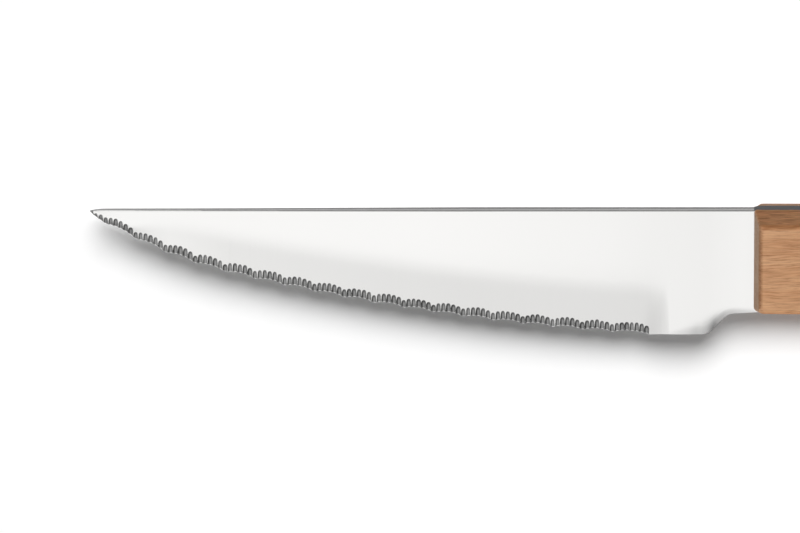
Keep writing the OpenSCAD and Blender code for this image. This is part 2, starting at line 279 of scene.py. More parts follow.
def flat_half(x):
    s = np.clip(1 - (x + BLADE_LEN) / THIN_LEN, 0, 1)
    return np.clip(HALF_T + (x + TAPER_START) * (HALF_T - POINT_HALF_T) / (BLADE_LEN - TAPER_START),
                   POINT_HALF_T, HALF_T) - POINT_THINS * s * s


# Rounding of the heel's and the neck's lower edge by place along the blade: its width and its slope at
# the edge. It is blended over neighbouring spots, and goes on a little past the edge
ROUND_X = np.array([-15.7, -13.8, -11.8, -10.1, -9.0, -7.9, -6.8, -5.7, -4.6, -2.5, 0.0])
ROUND_W = np.array([0.4, 1.1, 2.0, 2.8, 2.8, 2.4, 1.9, 1.4, 1.3, 1.2, 0.8])
ROUND_SLOPE = np.array([0.06, 0.085, 0.11, 0.16, 0.19, 0.23, 0.34, 0.31, 0.2, 0.16, 0.13])
ROUND_BLEND = 0.28
ROUND_PAST_SHARE = 1.5
BLEND_STEPS = (-1.5, -0.75, 0.0, 0.75, 1.5)


def heel_rounding(x, y):
    """Depth that the rounded edge lies under the flat, blended where its stretches meet."""
    near = x > RUNOUT_BACK
    drop = np.zeros(x.shape)
    total = 0.0
    for step_x in BLEND_STEPS:
        for step_y in BLEND_STEPS:
            weight = math.exp(-(step_x ** 2 + step_y ** 2) / 2)
            px = np.clip(x[near] + step_x * ROUND_BLEND, RUNOUT_BACK, 0)
            py = y[near] + step_y * ROUND_BLEND
            d = from_heel_line(px, py) * np.where(py < low_line(px), -1, 1)
            wide = np.interp(px, ROUND_X, ROUND_W)
            q = np.clip(1 - d / wide, 0, ROUND_PAST_SHARE)
            slope = np.interp(px, ROUND_X, ROUND_SLOPE)
            drop[near] += weight * slope * wide * (q * q - q ** 3 / 3)
            total += weight
    return drop / total


def run_out(x):
    """How far the grind has risen back to the flat: slowly at first, with a soft crease where it ends."""
    steps = np.linspace(-RUNOUT_SOFT, RUNOUT_SOFT, RUNOUT_POINTS)
    run = RUNOUT_BACK - RUNOUT_FRONT
    r = [np.clip((x + step - RUNOUT_FRONT) / run, 0, 1) for step in steps]
    return np.mean([each ** RUNOUT_POWER for each in r], axis=0)


def ground_half(x, y, spine_ease):
    """Half thickness of the ground blade: straight bevel, soft shoulder, run-out and rounded edges."""
    full = flat_half(x)
    tall = back(x) - plain_edge(np.minimum(x, -HEEL_FRONT))
    high = GRIND_GAIN * np.sqrt(tall) * (1 - np.exp(-(tall / GRIND_TIP_H) ** 3))
    high = np.maximum(high, GRIND_TIP_SHARE * tall)
    edge_half = np.interp(x, EDGE_THICKENS, (TIP_EDGE_HALF_T, EDGE_HALF_T))
    edge_half = np.minimum(edge_half, EDGE_MAX_SHARE * full)
    heel_height = y + BLADE_H + (x + HEEL_FRONT) * math.tan(HEEL_SLOPE)
    height = np.where(x < -HEEL_FRONT, above_edge(x, y), heel_height)
    u = np.clip(height / high, BELOW_EDGE_SHARE, 1)
    v = np.clip((u - SHOULDER_SHARE) / (1 - SHOULDER_SHARE), 0, 1)
    rise = np.minimum(u, SHOULDER_SHARE) + (1 - SHOULDER_SHARE) * (v - v * v / 2)
    rise = rise / (SHOULDER_SHARE + (1 - SHOULDER_SHARE) / 2)
    z = full - (full - edge_half) * (1 - rise) * (1 - run_out(x))
    z = z - heel_rounding(x, y)
    ease = np.minimum(spine_ease, EASE_TALL_SHARE * tall) * np.clip(-x / EASE_FADE, LEAST_EASE_SHARE, 1)
    e = np.clip(1 - (back(x) - y) / ease, 0, 1)
    return z - ease * (1 - np.sqrt(1 - e * e))


rng = np.random.default_rng(SEED)
FLUTE_COUNT = 1 + int((BLADE_LEN - HEEL_FRONT - POINT_PLAIN - FLUTE_PITCH / 2) / FLUTE_PITCH)
FLUTE_X = -HEEL_FRONT - (np.arange(FLUTE_COUNT) + 0.5) * FLUTE_PITCH
FLUTE_Y = cutting_edge(FLUTE_X)
FLUTE_BULGE = 2 * (FLUTE_Y - plain_edge(FLUTE_X)) / SCALLOP_DEPTH - 1
RUN_JITTER = RUN_JITTER_SHARE * rng.standard_normal(FLUTE_COUNT)
FLUTE_RUN = FLUTE_SEEN_LEN * (1 + FLUTE_WAVE_SHARE * FLUTE_BULGE + RUN_JITTER)
FLUTE_RUN = FLUTE_RUN * np.interp(FLUTE_X, RUN_SHORTENS, (TIP_RUN_SHARE, 1))
FLUTE_RUN = np.minimum(FLUTE_RUN, TIP_FLUTE_SHARE * (back(FLUTE_X) - FLUTE_Y))
FLUTE_TOP = FLUTE_Y + FLUTE_RUN
DEPTH_JITTER = rng.standard_normal(FLUTE_COUNT).clip(-JITTER_LIMIT, JITTER_LIMIT)
FLUTE_DEPTH_SHARES = 1 + DEPTH_JITTER_SHARE * DEPTH_JITTER
# Ahead of the last flute the point takes the stamped edge's darker steel all over, as painted shade
PLAIN_TIP_X = FLUTE_X[-1] - FLUTE_PITCH / 2


def flute_at(x):
    return np.clip(np.rint((-HEEL_FRONT - x) / FLUTE_PITCH - 0.5).astype(int), 0, FLUTE_COUNT - 1)


def flute_depth(s):
    body = FLUTE_EDGE_DEPTH + (FLUTE_END_DEPTH - FLUTE_EDGE_DEPTH) * s / (1 - FLUTE_END_SHARE)
    t = np.clip((s - 1 + FLUTE_END_SHARE) / FLUTE_END_SHARE, 0, 1)
    return np.where(t > 0, FLUTE_END_DEPTH * (1 - t * t), body)


def fluted_z(x, y, ground):
    i = flute_at(x)
    off = np.minimum(np.abs(x - FLUTE_X[i]), FLUTE_CUT_R)
    s = (y - FLUTE_Y[i]) / FLUTE_RUN[i]
    hollow = FLUTE_CUT_R - np.sqrt(FLUTE_CUT_R ** 2 - off ** 2)
    run_share = np.minimum(1, FLUTE_RUN[i] / FLUTE_SEEN_LEN)
    deep = flute_depth(s) * FLUTE_DEPTH_SHARES[i] * run_share - hollow
    deep = np.where(x < -HEEL_FRONT, np.maximum(deep, 0), 0)
    burr = BURR_SLOPE * np.maximum(BURR_W - (y - cutting_edge(x)), 0)
    return ground - deep + np.where(deep > 0, burr, 0), deep


# Columns of the blade's grid along x: close together across the flutes, then a few at the point, and even
# ones along the heel, round its back corner and up to the handle
FLUTE_COLUMN_SHARES = np.array([-0.5, -0.465, -0.43, -0.385, -0.31, -0.21, -0.1, 0.0,
                                0.1, 0.21, 0.31, 0.385, 0.43, 0.465])
TIP_SET_BACK = 0.03
TIP_COLUMNS = 9
HEEL_COLUMN_W = 0.2
CORNER_COLUMN_W = 0.14
CORNER_LEAD = 1.2
SEAM_LEN = 0.7
SEAM_COLUMNS = 6
PLACE_DIGITS = 5


def blade_columns():
    flutes = (FLUTE_X[:, None] + FLUTE_COLUMN_SHARES * FLUTE_PITCH).ravel()
    tip = np.linspace(-BLADE_LEN + TIP_SET_BACK, flutes.min(), TIP_COLUMNS)[:-1]
    corner_start = -HEEL_BACK - CORNER_LEAD
    heel = np.arange(-HEEL_FRONT, corner_start, HEEL_COLUMN_W)
    corner = np.arange(corner_start, -SEAM_LEN, CORNER_COLUMN_W)
    seam = np.linspace(-SEAM_LEN, 0, SEAM_COLUMNS)
    return np.unique(np.round(np.concatenate([tip, flutes, TOOTH_X, heel, corner, seam]), PLACE_DIGITS))


# Rows of the blade's grid: shares of the flutes' length on the fluted and the plain side, then heights
# over the edge where the blade is at least FULL_ROWS_H tall, then depths under the back
FLUTE_ROW_SHARES = np.array([0, 0.025, 0.055, 0.13, 0.27, 0.4, 0.52, 0.62, 0.69, 0.74, 0.79, 0.83, 0.87,
                             0.905, 0.935, 0.96, 0.98, 1.0, 1.03])
PLAIN_ROW_SHARES = np.array([0, 0.06, 0.16, 0.3, 0.48, 0.7, 1.03])
GRIND_ROWS = np.array([2.3, 2.9, 3.6, 4.3, 4.8, 5.4, 6.0, 6.6, 7.2, 7.9, 8.6, 9.3, 10.2])
EASE_ROWS = np.array([0.26, 0.2, 0.14, 0.09, 0.05, 0.022, 0.006, 0.0])
FULL_ROWS_H = 12.5
FULL_EASE_H = 2.0
LEAST_FLUTE_H = 0.3
LEAST_ROW_H = 0.02
FLAT_ROWS = 5
# The first rows in the flutes keep the face's brighter steel rather than the flutes' darker one, a painted
# glint along the edge
EDGE_GLINT_ROWS = 2
# From each of these places on, one more row at the back has the stamped edge's darker steel, painted shade
# that widens the dark back line towards the point
SHADED_BACK_STARTS = (-112.0, -100.0, -86.0)


def rows_of(x, shares):
    low, high = low_line(x), back(x)
    tall = high - low
    shrink = np.minimum(1, tall / FULL_ROWS_H)
    top = np.where(x < -HEEL_FRONT, FLUTE_TOP[flute_at(x)], low + FLUTE_SEEN_LEN)
    first = low + np.maximum(top - low, LEAST_FLUTE_H * shrink)
    fine_y = low[:, None] + shares[None] * (first - low)[:, None]
    climb = LEAST_ROW_H * (1 + np.arange(len(GRIND_ROWS)))
    grind_y = np.maximum(low[:, None] + GRIND_ROWS[None] * shrink[:, None],
                         fine_y[:, -1:] + climb[None] * shrink[:, None])
    ease = EASE_ROWS[None] * np.minimum(1, tall / FULL_EASE_H)[:, None]
    rest = np.linspace(0, 1, FLAT_ROWS)[1:-1]
    rest_y = grind_y[:, -1:] + (high - ease[:, 0] - grind_y[:, -1])[:, None] * rest[None]
    return np.concatenate([fine_y, grind_y, rest_y, high[:, None] - ease], 1)


# Handle outline, shared by the tang and the scales
def cubic(c, u):
    c = [np.asarray(v, float) for v in c]
    u = np.asarray(u)[:, None] if c[0].ndim else np.asarray(u)
    return (1 - u) ** 3 * c[0] + 3 * u * (1 - u) ** 2 * c[1] + 3 * u * u * (1 - u) * c[2] + u ** 3 * c[3]


GRIP_LEN = HANDLE_LEN - BUTT_LEN
BACK_DROP_SHARES = np.array([0, 0, 0.3, 1])
BELLY_DROP_SHARES = np.array([0, 0.06, 0.13, 1])
BACK_Y = HANDLE_RISE - BACK_DROP_SHARES * BUTT_DROP
BELLY_Y = -FRONT_H - BELLY_DROP_SHARES * (BUTT_DROP + BUTT_FLARE)
BUTT_REACH_SHARE = 0.6
BUTT_ROUND_SHARE = 0.6
GRIP_POINTS = 61
BUTT_POINTS = 33
RISE_POINTS = 8


def handle_outline():
    u = np.linspace(0, 1, GRIP_POINTS)
    belly = np.stack([u * GRIP_LEN, cubic(BELLY_Y, u)], 1)
    top = np.stack([u * GRIP_LEN, cubic(BACK_Y, u)], 1)
    belly_rate = 3 * (BELLY_Y[3] - BELLY_Y[2]) / GRIP_LEN
    back_rate = 3 * (BACK_Y[3] - BACK_Y[2]) / GRIP_LEN
    reach = BUTT_LEN * BUTT_REACH_SHARE
    butt = np.array([HANDLE_LEN, (BELLY_Y[3] + BACK_Y[3]) / 2])
    pull = [0, (BACK_Y[3] - BELLY_Y[3]) / 2 * BUTT_ROUND_SHARE]
    v = np.linspace(0, 1, BUTT_POINTS)[1:]
    low = cubic([belly[-1], belly[-1] + reach * np.array([1, belly_rate]), butt - pull, butt], v)
    high = cubic([butt, butt + pull, top[-1] + reach * np.array([1, back_rate]), top[-1]], v)
    w = np.linspace(1, 0, RISE_POINTS)[:-1]
    step = np.stack([RISE_LEN * w, HANDLE_RISE * (1 - (1 - w) ** 2)], 1)
    return np.concatenate([belly[1:], low, high, top[-2:0:-1], step])


HANDLE_LINE = handle_outline()
# The scales' sides start behind their rounded front corners
CORNER_CLEAR_SHARE = 2.5
SIDE_LINE = HANDLE_LINE[HANDLE_LINE[:, 0] > CORNER_CLEAR_SHARE * FRONT_CORNER_R]


def rivet_places():
    x = np.array(RIVET_SHARES) * HANDLE_LEN
    u = x / GRIP_LEN
    return np.stack([x, (cubic(BACK_Y, u) + cubic(BELLY_Y, u)) / 2], 1)


RIVETS = rivet_places()
CIRCLE_POINTS = 64
CIRCLE = np.linspace(0, 2 * math.pi, CIRCLE_POINTS, endpoint=False)


def ring(centre, r):
    return np.asarray(centre) + r * np.stack([np.cos(CIRCLE), np.sin(CIRCLE)], 1)


JOIN_GAP = 1e-7
SMOOTH_ANGLE = math.radians(30)


class Builder:
    """Gathers points and faces, with a material number for each face."""

    def __init__(self):
        self.points = []
        self.faces = []
        self.kinds = []
        self.count = 0

    def add(self, points):
        points = np.asarray(points, float).reshape(-1, 3)
        first = self.count
        self.points.append(points)
        self.count += len(points)
        return np.arange(first, self.count)

    def face(self, face, kind=0):
        self.faces.append([int(i) for i in face])
        self.kinds.append(kind)

    def strip(self, a, b, kind=0, closed=True):
        n = len(a)
        for i in range(n if closed else n - 1):
            j = (i + 1) % n
            self.face((a[i], a[j], b[j], b[i]), kind)

    def plate(self, loops, flat, upward):
        """Flat face with an outer loop and then holes: loops are index arrays, flat their 2-D points."""
        index = np.concatenate(loops)
        edges = []
        first = 0
        for loop in loops:
            n = len(loop)
            edges += [(first + i, first + (i + 1) % n) for i in range(n)]
            first += n
        points = np.concatenate(flat)
        out = delaunay_2d_cdt([Vector(p) for p in points], edges, [], 1, JOIN_GAP)
        spots = np.array([tuple(p) for p in out[0]])
        source = [ids[0] for ids in out[3]]
        owner = np.repeat(np.arange(len(loops)), [len(loop) for loop in loops])
        for tri in out[2]:
            owners = {owner[source[k]] for k in tri}
            if len(owners) == 1 and 0 not in owners:
                continue
            a, b, c = (spots[k] for k in tri)
            up = (b[0] - a[0]) * (c[1] - a[1]) - (b[1] - a[1]) * (c[0] - a[0]) > 0
            order = tri if up == upward else tri[::-1]
            self.face([index[source[k]] for k in order])

    def build(self, name, materials):
        mesh = bpy.data.meshes.new(name)
        mesh.from_pydata(to_part(np.concatenate(self.points)).tolist(), [], self.faces)
        for m in materials:
            mesh.materials.append(m)
        mesh.polygons.foreach_set("material_index", np.array(self.kinds, dtype=np.int32))
        mesh.polygons.foreach_set("use_smooth", np.ones(len(self.faces), dtype=bool))
        mesh.validate()
        mesh.set_sharp_from_angle(angle=SMOOTH_ANGLE)
        mesh.update()
        obj = bpy.data.objects.new(name, mesh)
        bpy.context.scene.collection.objects.link(obj)
        return obj


FACE, FLUTED, STAMPED, TANG = 0, 1, 2, 3


def blade_mesh():
    b = Builder()
    x = blade_columns()
    shaded_back_rows = np.searchsorted(SHADED_BACK_STARTS, x)
    sides = []
    for sign, shares in ((1, FLUTE_ROW_SHARES), (-1, PLAIN_ROW_SHARES)):
        y = rows_of(x, shares)
        xx = np.repeat(x[:, None], y.shape[1], 1)
        z = ground_half(xx, y, SPINE_EASE if sign > 0 else BURR_EASE)
        cut = np.zeros(z.shape)
        if sign > 0:
            z, cut = fluted_z(xx, y, z)
        grid = b.add(np.stack([xx, y, sign * z], -1)).reshape(z.shape)
        for i in range(len(x) - 1):
            for j in range(z.shape[1] - 1):
                quad = (grid[i, j], grid[i + 1, j], grid[i + 1, j + 1], grid[i, j + 1])
                in_flute = (cut[i:i + 2, j:j + 2] > 0).sum() > 1
                kind = FLUTED if in_flute and j >= EDGE_GLINT_ROWS else FACE
                if sign > 0 and j >= z.shape[1] - 1 - shaded_back_rows[i]:
                    kind = STAMPED
                if x[i] < PLAIN_TIP_X:
                    kind = STAMPED
                b.face(quad if sign > 0 else quad[::-1], kind)
        sides.append(grid)
    top, low = sides
    b.strip(low[:, 0], top[:, 0], STAMPED, closed=False)
    b.strip(top[:, -1], low[:, -1], STAMPED, closed=False)
    b.face(list(low[0, ::-1]) + list(top[0]), STAMPED)
    outline = HANDLE_LINE
    n = len(outline)
    upper = b.add(np.column_stack([outline, np.full(n, HALF_T)]))
    lower = b.add(np.column_stack([outline, np.full(n, -HALF_T)]))
    points = np.concatenate(b.points)
    for side, rim, z, upward in ((top, upper, HALF_T, True), (low, lower, -HALF_T, False)):
        seam = side[-1, ::-1]
        holes = [ring(c, SLEEVE_R + FIT) for c in RIVETS]
        hole_ids = [b.add(np.column_stack([h, np.full(len(h), z)])) for h in holes]
        b.plate([np.concatenate([seam, rim])] + hole_ids,
                [np.concatenate([points[seam][:, :2], outline])] + holes, upward)
        if upward:
            upper_holes = hole_ids
        else:
            for a, c in zip(upper_holes, hole_ids):
                b.strip(a, c, TANG)
    up_rim = np.concatenate([[top[-1, 0]], upper, [top[-1, -1]]])
    low_rim = np.concatenate([[low[-1, 0]], lower, [low[-1, -1]]])
    b.strip(low_rim, up_rim, TANG, closed=False)
    return b


SCALE_CORNER_POINTS = 13
RIM_POINTS = 13


def scale_ring(side_in, front_in, z, corner_r):
    """Outline of a scale at one height, drawn in by the drafts of its sides and of its front."""
    quarter = np.linspace(0, math.pi / 2, SCALE_CORNER_POINTS)
    fall = np.stack([np.cos(quarter), np.sin(quarter)], 1)
    climb = np.stack([-np.sin(quarter), np.cos(quarter)], 1)
    low = np.array([front_in, side_in - FRONT_H]) + FRONT_CORNER_R * (1 - fall)
    high = np.array([front_in + corner_r, HANDLE_RISE - side_in - corner_r]) + corner_r * climb
    ahead = np.roll(SIDE_LINE, -1, 0) - np.roll(SIDE_LINE, 1, 0)
    ahead[0] = SIDE_LINE[1] - SIDE_LINE[0]
    ahead[-1] = SIDE_LINE[-1] - SIDE_LINE[-2]
    ahead /= np.linalg.norm(ahead, axis=1)[:, None]
    sides = SIDE_LINE - side_in * np.stack([ahead[:, 1], -ahead[:, 0]], 1)
    line = np.concatenate([low, sides, high])
    return np.column_stack([line, np.full(len(line), z)])


def eased_in(draft, ease_h, up):
    """How far a drafted side has come in at a height up inside the rounded rim, which is ease_h high."""
    r = ease_h / (1 - math.sin(draft))
    a = math.asin(min(1.0, math.sin(draft) + up / r))
    return (SCALE_T - ease_h) * math.tan(draft) + r * (math.cos(draft) - math.cos(a))


def scale_mesh(sign):
    b = Builder()
    levels = [(0.0, 0.0, HALF_T)]
    ease_h = SCALE_EASE * (1 - math.sin(SIDE_DRAFT))
    for a in np.linspace(SIDE_DRAFT, math.pi / 2, RIM_POINTS):
        up = SCALE_EASE * (math.sin(a) - math.sin(SIDE_DRAFT))
        ins = [eased_in(draft, ease_h, up) for draft in (SIDE_DRAFT, FRONT_DRAFT)]
        levels.append((*ins, HANDLE_HALF_T - ease_h + up))
    corner_r = BACK_CORNER_R if sign > 0 else FAR_CORNER_R
    rings = [scale_ring(*level, corner_r) for level in levels]
    ids = [b.add(r * [1, 1, sign]) for r in rings]

    def wall(a, c):
        if sign > 0:
            b.strip(a, c)
        else:
            b.strip(a[::-1], c[::-1])

    for a, c in zip(ids, ids[1:]):
        wall(a, c)
    bore = [ring(c, SLEEVE_R + FIT) for c in RIVETS]
    sink = [ring(c, HEAD_R + FIT) for c in RIVETS]

    def loops(rings_2d, z):
        return [b.add(np.column_stack([r, np.full(len(r), sign * z)])) for r in rings_2d]

    low_bore = loops(bore, HALF_T)
    floor_bore = loops(bore, HANDLE_HALF_T - HEAD_T)
    floor_sink = loops(sink, HANDLE_HALF_T - HEAD_T)
    top_sink = loops(sink, HANDLE_HALF_T)
    b.plate([ids[0]] + low_bore, [rings[0][:, :2]] + bore, sign < 0)
    b.plate([ids[-1]] + top_sink, [rings[-1][:, :2]] + sink, sign > 0)
    for lower, upper in ((low_bore, floor_bore), (floor_bore, floor_sink), (floor_sink, top_sink)):
        for a, c in zip(lower, upper):
            wall(c, a)
    return b


def lathe_mesh(centre, profile):
    """Closed profile of (radius, height) points that starts and ends on the axis."""
    b = Builder()
    rings = []
    for r, z in profile:
        if r == 0:
            rings.append(b.add([[centre[0], centre[1], z]]))
        else:
            line = ring(centre, r)
            rings.append(b.add(np.column_stack([line, np.full(len(line), z)])))
    n = len(CIRCLE)
    for a, c in zip(rings, rings[1:]):
        for i in range(n):
            j = (i + 1) % n
            quad = [a[i % len(a)], a[j % len(a)], c[j % len(c)], c[i % len(c)]]
            b.face(list(dict.fromkeys(int(k) for k in quad)))
    return b


# Rivet profiles: a rounded rim on each head, and a chamfer on the pin's end
CHAMFER = 0.1
ROUND_MID_SHARE = 0.3
HEAD_MID_SHARE = 0.6
HEAD_LOW = HANDLE_HALF_T - HEAD_T
RIM_MID = CHAMFER * ROUND_MID_SHARE
PIN_PROFILE = [
    (0, -HEAD_LOW + END_GAP), (PIN_R - CHAMFER, -HEAD_LOW + END_GAP), (PIN_R, -HEAD_LOW + END_GAP + CHAMFER),
    (PIN_R, HEAD_LOW), (HEAD_R, HEAD_LOW), (HEAD_R, HANDLE_HALF_T - CHAMFER),
    (HEAD_R - RIM_MID, HANDLE_HALF_T - RIM_MID), (HEAD_R - CHAMFER, HANDLE_HALF_T),
    (HEAD_R * HEAD_MID_SHARE, HANDLE_HALF_T), (0, HANDLE_HALF_T)]
SLEEVE_PROFILE = [
    (0, -HANDLE_HALF_T), (HEAD_R * HEAD_MID_SHARE, -HANDLE_HALF_T), (HEAD_R - CHAMFER, -HANDLE_HALF_T),
    (HEAD_R - RIM_MID, -HANDLE_HALF_T + RIM_MID), (HEAD_R, -HANDLE_HALF_T + CHAMFER), (HEAD_R, -HEAD_LOW),
    (SLEEVE_R, -HEAD_LOW), (SLEEVE_R, HEAD_LOW - END_GAP), (PIN_R + FIT, HEAD_LOW - END_GAP),
    (PIN_R + FIT, -HEAD_LOW), (0, -HEAD_LOW)]


class Nodes:
    """Shorthand for a material's or the world's node tree."""

    def __init__(self, tree):
        self.tree = tree

    def add(self, kind, inputs=None, **settings):
        node = self.tree.nodes.new(kind)
        for key, value in settings.items():
            setattr(node, key, value)
        for key, value in (inputs or {}).items():
            self.set(node.inputs[key], value)
        return node

    def set(self, socket, value):
        if isinstance(value, bpy.types.NodeSocket):
            self.tree.links.new(value, socket)
        else:
            socket.default_value = value

    def math(self, operation, a, b=0.0, c=0.0, clamp=False):
        node = self.add("ShaderNodeMath", operation=operation, use_clamp=clamp)
        for socket, value in zip(node.inputs, (a, b, c)):
            self.set(socket, value)
        return node.outputs[0]

    def mix(self, factor, a, b, blend="MIX"):
        node = self.add("ShaderNodeMix", data_type="RGBA", blend_type=blend)
        self.set(node.inputs["Factor"], factor)
        self.set(node.inputs["A"], a)
        self.set(node.inputs["B"], b)
        return node.outputs["Result"]

    def times(self, *colours):
        product = colours[0]
        for colour in colours[1:]:
            product = self.mix(1.0, product, colour, "MULTIPLY")
        return product

    def ramp(self, value, stops):
        node = self.add("ShaderNodeValToRGB", {"Fac": value})
        points = node.color_ramp.elements
        while len(points) < len(stops):
            points.new(0.5)
        for point, (place, colour) in zip(points, stops):
            point.position = place
            point.color = grey(colour) if isinstance(colour, float) else (*colour, 1)
        return node.outputs["Color"]

    def place(self):
        return self.add("ShaderNodeTexCoord").outputs["Object"]

    def split(self, vector):
        return self.add("ShaderNodeSeparateXYZ", {0: vector}).outputs

    def scaled(self, vector, factor):
        node = self.add("ShaderNodeVectorMath", {0: vector, "Scale": factor}, operation="SCALE")
        return node.outputs["Vector"]

    def noise(self, vector, waves, detail=2.0, rough=0.5):
        """Noise around 0.5; waves is a number of waves per metre for each axis."""
        node = self.add("ShaderNodeVectorMath", {0: vector, 1: waves}, operation="MULTIPLY")
        inputs = {"Vector": node.outputs["Vector"], "Scale": 1.0, "Detail": detail, "Roughness": rough}
        return self.add("ShaderNodeTexNoise", inputs).outputs["Fac"]

    def swing(self, noise, reach):
        """The noise, around zero and times its reach."""
        return self.math("MULTIPLY", self.math("SUBTRACT", noise, 0.5), reach)

    def bump(self, height, strength, distance):
        inputs = {"Height": height, "Strength": strength, "Distance": distance}
        return self.add("ShaderNodeBump", inputs).outputs["Normal"]


def new_material(name):
    material = bpy.data.materials.new(name)
    material.use_nodes = True
    nodes = Nodes(material.node_tree)
    shader = material.node_tree.nodes["Principled BSDF"]
    return material, nodes, shader


def grey(v):
    return (v, v, v, 1)


# Steel: streaks of its polish, fainter clouds, and waves in the painted shade and highlight across a stamped
# edge
STREAK_DETAIL = 3.0
STREAK_ROUGH = 0.6
STREAK_HEIGHT = 0.02 * MM
CLOUD_WAVES = (45, 45, 45)
CLOUD_SHARE = 0.5
EDGE_SHADE_WAVE = 0.3


def steel(name, colour, rough, waves, streak, bump, shade_across=None, shade_along=None):
    """Steel with fine polishing streaks. It can take painted shade and highlight across the sheet's
    thickness, for a stamped edge, and painted shade along the blade."""
    material, n, shader = new_material(name)
    lines = n.noise(n.place(), waves, STREAK_DETAIL, STREAK_ROUGH)
    clouds = n.noise(n.place(), CLOUD_WAVES)
    tone = n.math("ADD", n.swing(lines, streak), n.swing(clouds, streak * CLOUD_SHARE))
    shade = n.math("ADD", 1.0, tone)
    # Painted shade and highlight across the sheet's thickness: near black at the lower face, brightest a
    # little above the middle
    if shade_across:
        over_bottom = n.math("SUBTRACT", n.split(n.place())["Z"], (OFFSET[2] - HALF_T) * MM)
        across = n.math("DIVIDE", over_bottom, 2 * HALF_T * MM)
        wavy = n.math("ADD", across, n.swing(clouds, EDGE_SHADE_WAVE))
        shade = n.math("MULTIPLY", shade, n.ramp(wavy, shade_across))
    # Painted shade along the blade
    if shade_along:
        past_point = n.math("SUBTRACT", n.split(n.place())["X"], (OFFSET[0] - BLADE_LEN) * MM)
        along = n.math("DIVIDE", past_point, BLADE_LEN * MM)
        shade = n.math("MULTIPLY", shade, n.ramp(along, shade_along))
    n.set(shader.inputs["Base Color"], n.scaled(colour, shade))
    shader.inputs["Metallic"].default_value = 1.0
    n.set(shader.inputs["Roughness"], n.math("ADD", rough, n.swing(lines, streak), clamp=True))
    n.set(shader.inputs["Normal"], n.bump(lines, bump, STREAK_HEIGHT))
    return material


# Wood: waves per metre of its grain along, across and through the handle, and the tones that they give
WANDER_WAVES = (60, 160, 160)
WANDER = 2.2 * MM
BAND_WAVES = (14, 420, 300)
FIBRE_WAVES = (220, 3000, 2300)
FIBRE_DETAIL = 4.0
FIBRE_NOISE_ROUGH = 0.65
VEIN_WAVES = (26, 950, 1100)
PORE_WAVES = (300, 4200, 3600)
RING_WAVES = (160, 200, 1500)
RING_NOISE_ROUGH = 0.55
BAND_TONES = [(0.3, (0.53, 0.282, 0.147)), (0.5, (0.582, 0.326, 0.177)), (0.7, (0.635, 0.37, 0.207))]
FIBRE_TONES = [(0.3, (0.74, 0.7, 0.67)), (0.52, 1.0), (0.75, 1.1)]
VEIN_TONES = [(0.455, 1.0), (0.485, (0.86, 0.78, 0.73)), (0.515, 1.0)]
PORE_TONES = [(0.34, (0.76, 0.7, 0.66)), (0.45, 1.0)]
# Year rings that show on the handle's back and belly, whose tones also lighten those sides as painted light
RING_GRAIN_AND_SIDE_LIGHT = [(0.36, (0.8, 0.64, 0.52)), (0.47, (1.3, 1.18, 1.07)), (0.62, (1.0, 0.86, 0.72))]
# End grain at the front and at the butt; the front's greyer tone is also painted shade and a painted grey
# sheen
FRONT_GRAIN_SHADE_AND_SHEEN = (0.72, 0.86, 1.08, 1)
BUTT_TONE = (0.8, 0.75, 0.71, 1)
# Painted shade on the rounded rims, which come out darker than the faces: tones by how far the surface faces
# up or down, less on the belly
RIM_PAINTED_SHADE = [(0.27, 1.0), (0.36, (0.9, 0.87, 0.84)), (0.63, (0.63, 0.54, 0.46)), (0.835, (0.64, 0.55, 0.47)),
             (0.954, (0.82, 0.75, 0.68)), (0.995, (0.9, 0.85, 0.8)), (1.0, 1.0)]
BELLY_FADE = 6.0
WOOD_ROUGH = 0.5
FIBRE_ROUGH = 0.16
WOOD_SPECULAR = 0.14
FIBRE_BUMP_SHARE = 0.6
PORE_BUMP_SHARE = 0.4
WOOD_BUMP = 0.35
WOOD_BUMP_HEIGHT = 0.1 * MM


def wood(name):
    material, n, shader = new_material(name)
    wander = n.noise(n.place(), WANDER_WAVES)
    spot = n.split(n.place())
    bent = n.math("ADD", spot["Y"], n.swing(wander, WANDER))
    flow = n.add("ShaderNodeCombineXYZ", {"X": spot["X"], "Y": bent, "Z": spot["Z"]}).outputs[0]
    fibres = n.noise(flow, FIBRE_WAVES, FIBRE_DETAIL, FIBRE_NOISE_ROUGH)
    pores = n.noise(flow, PORE_WAVES)
    tone = n.times(n.ramp(n.noise(flow, BAND_WAVES), BAND_TONES), n.ramp(fibres, FIBRE_TONES),
                   n.ramp(n.noise(flow, VEIN_WAVES), VEIN_TONES), n.ramp(pores, PORE_TONES))
    ring_grain_and_light = n.ramp(n.noise(flow, RING_WAVES, rough=RING_NOISE_ROUGH), RING_GRAIN_AND_SIDE_LIGHT)
    facing = n.split(n.add("ShaderNodeNewGeometry").outputs["True Normal"])
    # Sides facing the back and the belly take the ring tones: grain, and painted light
    tone = n.mix(n.math("ABSOLUTE", facing["Y"]), tone, n.times(tone, ring_grain_and_light))
    for way, end_tone in ((-1.0, FRONT_GRAIN_SHADE_AND_SHEEN), (1.0, BUTT_TONE)):
        facing_end = n.math("MULTIPLY", facing["X"], way, clamp=True)
        tone = n.mix(facing_end, tone, n.times(tone, end_tone))
    # Painted shade on the rims, left off the belly
    rim_shade = n.ramp(n.math("ABSOLUTE", facing["Z"]), RIM_PAINTED_SHADE)
    off_belly = n.math("MULTIPLY_ADD", facing["Y"], BELLY_FADE, 1.0, clamp=True)
    tone = n.mix(off_belly, tone, n.times(tone, rim_shade))
    n.set(shader.inputs["Base Color"], tone)
    n.set(shader.inputs["Roughness"], n.math("ADD", WOOD_ROUGH, n.math("MULTIPLY", fibres, FIBRE_ROUGH)))
    shader.inputs["Specular IOR Level"].default_value = WOOD_SPECULAR
    height = n.math("ADD", n.math("MULTIPLY", fibres, FIBRE_BUMP_SHARE),
                    n.math("MULTIPLY", pores, PORE_BUMP_SHARE))
    n.set(shader.inputs["Normal"], n.bump(height, WOOD_BUMP, WOOD_BUMP_HEIGHT))
    return material
